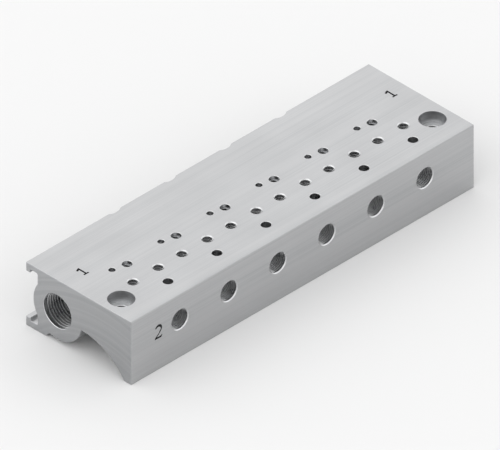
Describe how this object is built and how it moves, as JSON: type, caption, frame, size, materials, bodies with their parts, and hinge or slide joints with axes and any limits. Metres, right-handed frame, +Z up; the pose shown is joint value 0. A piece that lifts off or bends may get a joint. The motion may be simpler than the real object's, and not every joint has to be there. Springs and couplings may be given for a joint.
{
  "type": "manifold plate",
  "caption": "Extruded aluminium manifold plate for a row of pneumatic valves: supply gallery with threaded ends, threaded outlets along one side and a hooked rail groove behind.",
  "frame": {"origin": "middle of the footprint, on the surface that the plate stands on", "axes": "+X along the bar, +Y from the outlet face to the rail side, +Z up, out of the valve face"},
  "size_m": [0.189, 0.058, 0.03],
  "materials": {
    "aluminium_bar": "satin, drawn along the bar, milled ends"
  },
  "bodies": {
    "root": {"manifold_plate": "aluminium_bar"}
  },
  "joints": []
}
